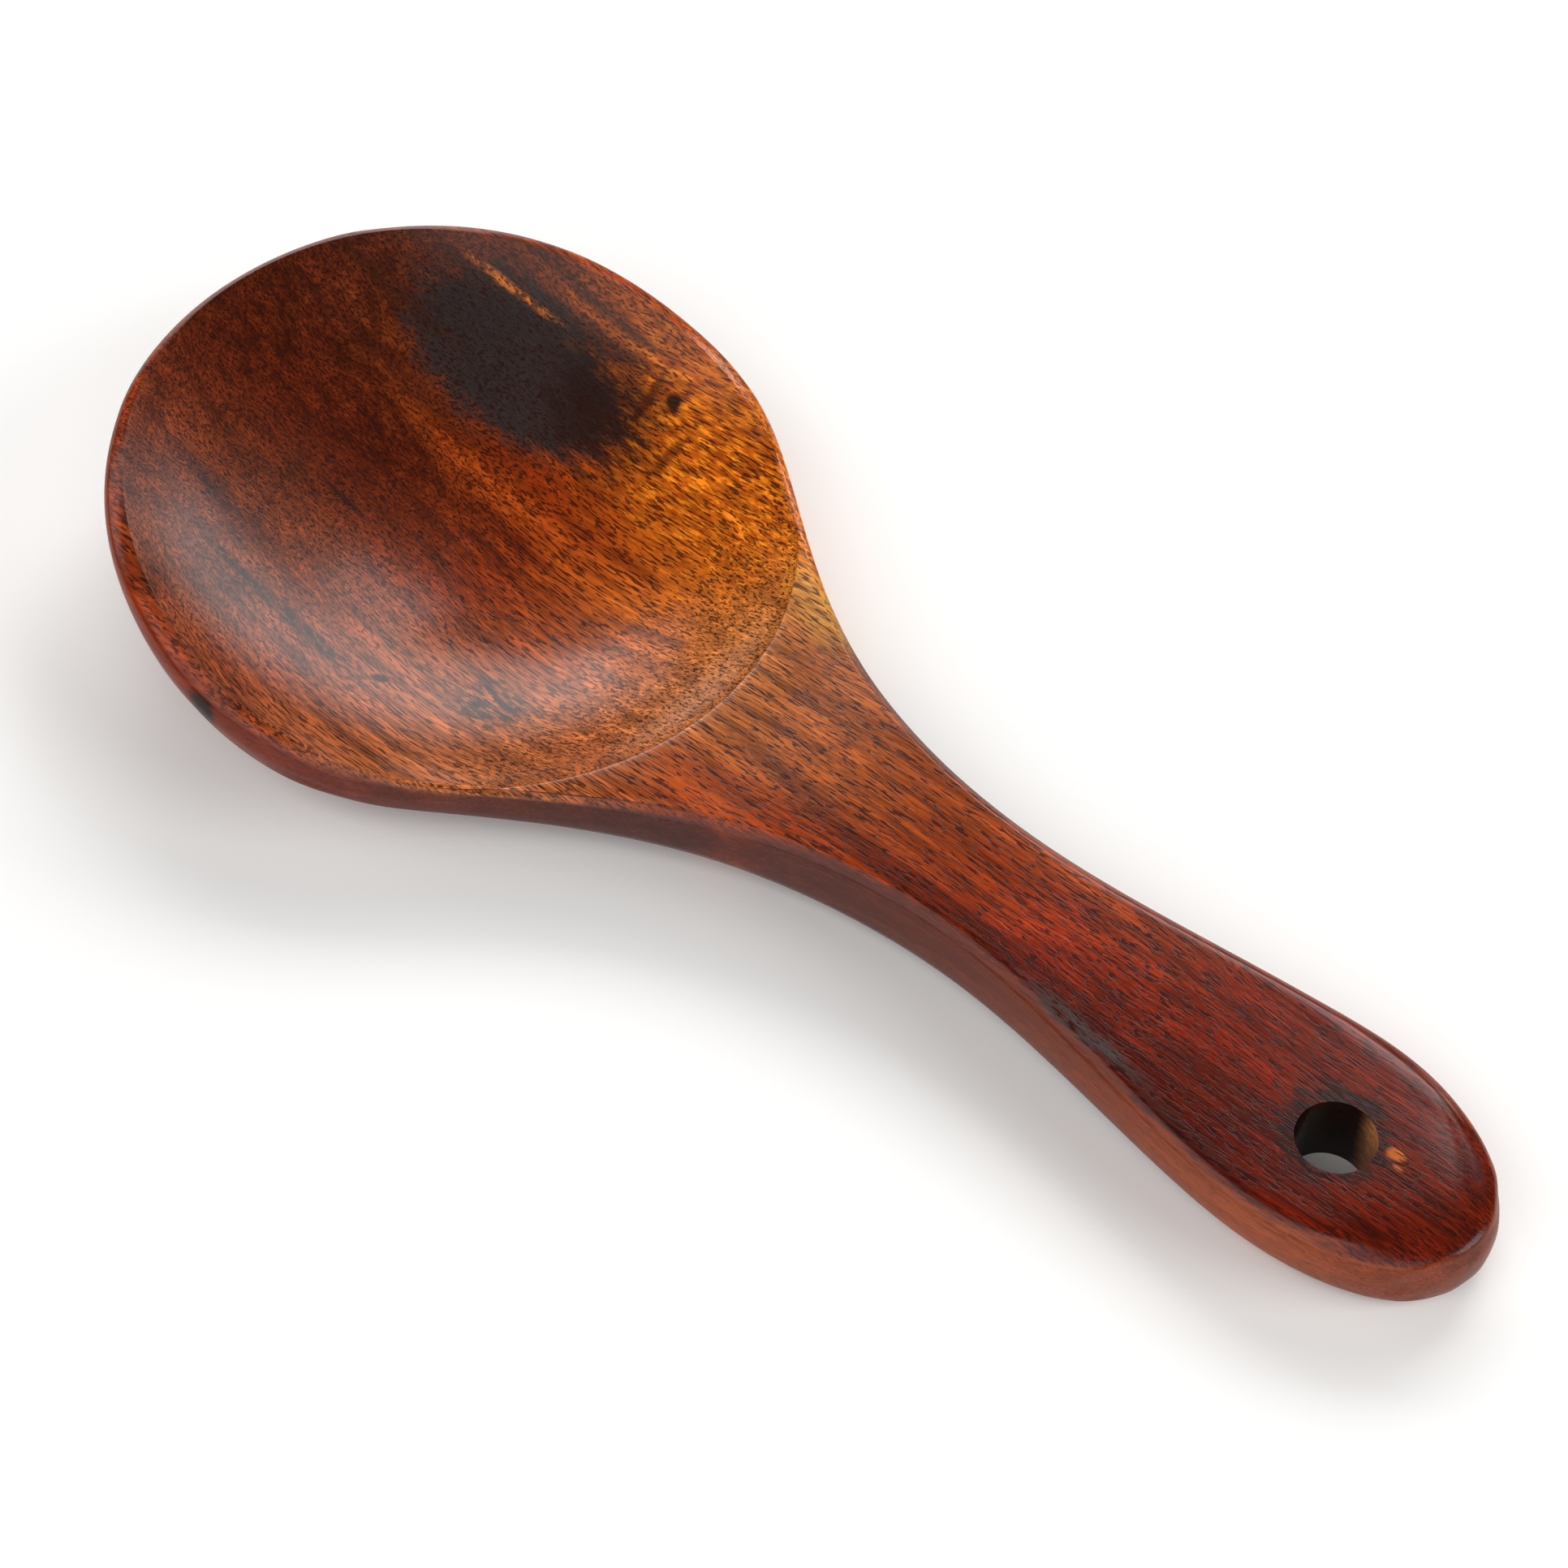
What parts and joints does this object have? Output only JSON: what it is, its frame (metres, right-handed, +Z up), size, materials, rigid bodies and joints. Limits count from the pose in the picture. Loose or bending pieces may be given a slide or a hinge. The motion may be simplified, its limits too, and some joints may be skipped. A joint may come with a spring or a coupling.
{
  "type": "carved wooden serving spoon",
  "caption": "Serving spoon carved in one piece from dark hardwood: round shallow bowl, narrow neck and flat handle with a drilled hanging hole.",
  "frame": {"origin": "middle of the spoon's length and width, at the surface it rests on", "axes": "+X along the spoon from the bowl's tip to the handle's end, +Z up out of the bowl, XZ is the mirror plane of all but the hanging hole, which is 0.8 mm to the -Y side"},
  "size_m": [0.205, 0.0894, 0.0268],
  "materials": {
    "lacquered_hardwood": "reddish stained hardwood under clear satin-gloss lacquer, dark heartwood patch in the bowl"
  },
  "bodies": {
    "root": {"carved_spoon": "lacquered_hardwood"}
  },
  "joints": []
}
